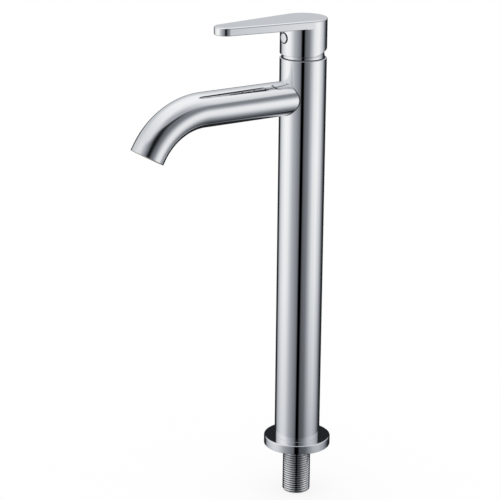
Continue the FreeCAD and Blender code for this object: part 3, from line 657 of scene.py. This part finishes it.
def spout_skin(bm, radius, start, end_length):
    """Skin along the spout's line for one radius. Returns its first and last ring of edges."""
    stand = Matrix.Translation((0, -start, SPOUT_HEIGHT)) @ Matrix.Rotation(radians(90), 4, "X")
    ring = bmesh.ops.create_circle(bm, cap_ends=False, radius=radius, segments=SPOUT_STEPS, matrix=stand)["verts"]
    first = edges_between(ring)
    line = grow(bm, first, move=(0, start - SPOUT_BEND_START, 0))
    out = bmesh.ops.spin(
        bm, geom=line, cent=(0, -SPOUT_BEND_START, SPOUT_HEIGHT - SPOUT_BEND_RADIUS), axis=(1, 0, 0),
        angle=SPOUT_TURN, steps=BEND_STEPS,
    )["geom_last"]
    last = grow(bm, edges_of(out), move=spout_way() * end_length)
    return first, last


def lay_on_column(edges, radius, gap):
    """Moves a ring about the spout's axis to a radius, at a gap from the column's round side."""
    for v in {v for edge in edges for v in edge.verts}:
        out = Vector((v.co.x, 0, v.co.z - SPOUT_HEIGHT)).normalized() * radius
        v.co = Vector((out.x, -sqrt(COLUMN_RADIUS ** 2 - out.x ** 2) - gap, SPOUT_HEIGHT + out.z))


def make_spout():
    """Outer and inner skin, joined at the mouth, and flared by its braze where it meets the column."""
    bm = bmesh.new()
    outer, lip = spout_skin(bm, SPOUT_RADIUS, COLUMN_RADIUS, SPOUT_END)
    inner, step = spout_skin(bm, SPOUT_BORE, COLUMN_RADIUS, SPOUT_END - MOUTH_DEPTH)
    lay_on_column(inner, SPOUT_BORE, -SPOUT_INSET)
    lay_on_column(outer, SPOUT_RADIUS, BRAZE_SIZE)
    for step_number in range(1, BRAZE_STEPS + 1):
        angle = radians(90) * step_number / BRAZE_STEPS
        outer = grow(bm, outer)
        lay_on_column(outer, SPOUT_RADIUS + BRAZE_SIZE * (1 - cos(angle)), BRAZE_SIZE * (1 - sin(angle)))
    outer = grow(bm, outer)
    lay_on_column(outer, SPOUT_RADIUS + BRAZE_SIZE, -SPOUT_INSET)
    bmesh.ops.bridge_loops(bm, edges=outer + inner)
    middle = sum((v.co for edge in step for v in edge.verts), Vector()) / (2 * len(step))
    step = grow(bm, step, spread=MOUTH_BORE / SPOUT_BORE, centre=middle)
    step = grow(bm, step, move=spout_way() * MOUTH_DEPTH)
    bmesh.ops.bridge_loops(bm, edges=lip + step)
    bmesh.ops.recalc_face_normals(bm, faces=bm.faces)
    lip = set(lip)
    round_edges(bm, lambda edge: edge in lip, MOUTH_ROUND, 3)
    finish_piece(bm, "spout", "spout_tube")


def swing(bm, vert, centre, sweep, steps):
    """Draws an arc from a vertex, anticlockwise from above. Returns its last vertex."""
    out = bmesh.ops.spin(bm, geom=[vert], cent=centre, axis=(0, 0, 1), angle=sweep, steps=steps)["geom_last"]
    return verts_of(out)[0]


def make_lever():
    """Skirt and teardrop plate in one shell, drawn from the flat where the plate's underside meets the skirt."""
    bm = bmesh.new()
    lean = (COLUMN_RADIUS - LEVER_TIP) / LEVER_LENGTH
    side = Vector((sqrt(1 - lean ** 2), -lean, 0))
    other = Vector((-side.x, side.y, 0))
    ahead = Vector((-lean, -side.x, 0))
    level = Vector((0, 0, lever_foot))
    tip = Vector((0, -LEVER_LENGTH, lever_foot))
    half_turn = radians(180)
    turn = 2 * asin(lean)

    left = swing(bm, bm.verts.new(level + side * COLUMN_RADIUS), level, half_turn + turn, SKIRT_REAR_STEPS)
    swing(bm, left, level, half_turn - turn, SKIRT_FRONT_STEPS)
    bmesh.ops.remove_doubles(bm, verts=bm.verts, dist=1e-3)
    rear = [edge for edge in bm.edges if sum(v.co.y for v in edge.verts) > 2 * side.y * COLUMN_RADIUS]
    front = [edge for edge in bm.edges if edge not in set(rear)]
    right, left = [
        min(bm.verts, key=lambda v: (v.co - level - way * COLUMN_RADIUS).length) for way in (side, other)
    ]
    tip_left = bm.verts.new(tip + other * LEVER_TIP)
    tip_right = swing(bm, tip_left, tip, half_turn - turn, TIP_STEPS)
    under_round = [edge for edge in bm.edges if edge not in set(rear + front)]
    right_start = bm.verts.new(right.co + ahead * UNDER_ROUND_START)
    left_start = bm.verts.new(left.co + Vector((-ahead.x, ahead.y, 0)) * UNDER_ROUND_START)
    under_round += [bm.edges.new((left_start, tip_left)), bm.edges.new((tip_right, right_start))]
    short = [bm.edges.new((left, left_start)), bm.edges.new((right_start, right))]

    bmesh.ops.contextual_create(bm, geom=front + under_round + short)
    top = grow(bm, rear + under_round + short, move=(0, 0, LEVER_THICKNESS))
    bmesh.ops.contextual_create(bm, geom=top)
    foot = grow_ring(bm, rear + front, COLUMN_RADIUS, skirt_foot)
    ring = grow_ring(bm, foot, SKIRT_BORE, skirt_foot)
    ring = grow_ring(bm, ring, SKIRT_BORE, skirt_foot + SKIRT_THIN_HEIGHT)
    ring = grow_ring(bm, ring, SKIRT_UPPER_BORE, skirt_foot + SKIRT_THIN_HEIGHT + SKIRT_STEP)
    ring = grow_ring(bm, ring, SKIRT_UPPER_BORE, lever_top - LEVER_ROOF)
    bmesh.ops.contextual_create(bm, geom=ring)

    cut = bmesh.ops.bisect_plane(
        bm, geom=bm.verts[:] + bm.edges[:] + bm.faces[:], dist=1e-5, plane_co=(0, -REAR_CUT_START, skirt_foot),
        plane_no=(0, -sin(REAR_CUT_ANGLE), cos(REAR_CUT_ANGLE)), clear_inner=True,
    )["geom_cut"]
    bmesh.ops.contextual_create(bm, geom=edges_of(cut))
    bmesh.ops.recalc_face_normals(bm, faces=bm.faces)

    under = set(under_round)
    round_edges(bm, lambda edge: edge in under, LEVER_UNDER_ROUND, 5)
    round_edges(bm, lambda edge: all(abs(v.co.z - lever_top) < CLOSE for v in edge.verts), LEVER_TOP_ROUND, 8)

    def on_foot(edge):
        heights = [skirt_foot + max(0, v.co.y + REAR_CUT_START) * tan(REAR_CUT_ANGLE) for v in edge.verts]
        return all(
            abs(v.co.z - height) < 2 * CLOSE and v.co.xy.length > COLUMN_RADIUS - 2 * CLOSE
            for v, height in zip(edge.verts, heights)
        )
    round_edges(bm, on_foot, SKIRT_EDGE, 3)
    lever = finish_piece(bm, "lever", "lever_handle")
    drill = bmesh.new()
    depth = COLUMN_RADIUS + 1 - PLUG_SEAT
    stand = Matrix.Translation((0, -PLUG_SEAT - depth / 2, PLUG_HEIGHT)) @ Matrix.Rotation(radians(90), 4, "X")
    bmesh.ops.create_cone(
        drill, cap_ends=True, segments=PLUG_STEPS, radius1=PLUG_HOLE, radius2=PLUG_HOLE, depth=depth, matrix=stand,
    )
    bmesh.ops.scale(drill, vec=(MM, MM, MM), verts=drill.verts)
    cut_away(lever, link_mesh(drill, "plug_drill"))


def cut_away(piece, tool):
    """Cuts a tool's shape out of a piece, keeps the round walls' shading true, and removes the tool."""
    cut = piece.modifiers.new("hole", "BOOLEAN")
    cut.operation = "DIFFERENCE"
    cut.solver = "EXACT"
    cut.object = tool
    with bpy.context.temp_override(object=piece, active_object=piece):
        bpy.ops.object.modifier_move_to_index(modifier=cut.name, index=0)
        bpy.ops.object.modifier_apply(modifier=cut.name)
    bpy.data.meshes.remove(tool.data)


def make_plug():
    seat = PLUG_SEAT + PLUG_SEAT_GAP
    bm = lathe([
        (0, PLUG_STUB_END), (PLUG_STUB_RADIUS, PLUG_STUB_END), (PLUG_STUB_RADIUS, seat), (PLUG_RADIUS, seat),
        (PLUG_RADIUS, PLUG_FACE), (0, PLUG_FACE),
    ], PLUG_STEPS)
    round_edges(bm, at(PLUG_RADIUS, PLUG_FACE), PLUG_ROUND, 5)
    bmesh.ops.rotate(bm, cent=(0, 0, 0), matrix=Matrix.Rotation(radians(90), 3, "X"), verts=bm.verts)
    bmesh.ops.translate(bm, vec=(0, 0, PLUG_HEIGHT), verts=bm.verts)
    finish_piece(bm, "plug", "index_plug")


make_camera()
light_studio()
make_floor()
dress_nodes()
make_column()
make_flange()
make_dome()
make_spout()
make_shank()
make_lever()
make_plug()

scene.view_settings.view_transform = "Standard"
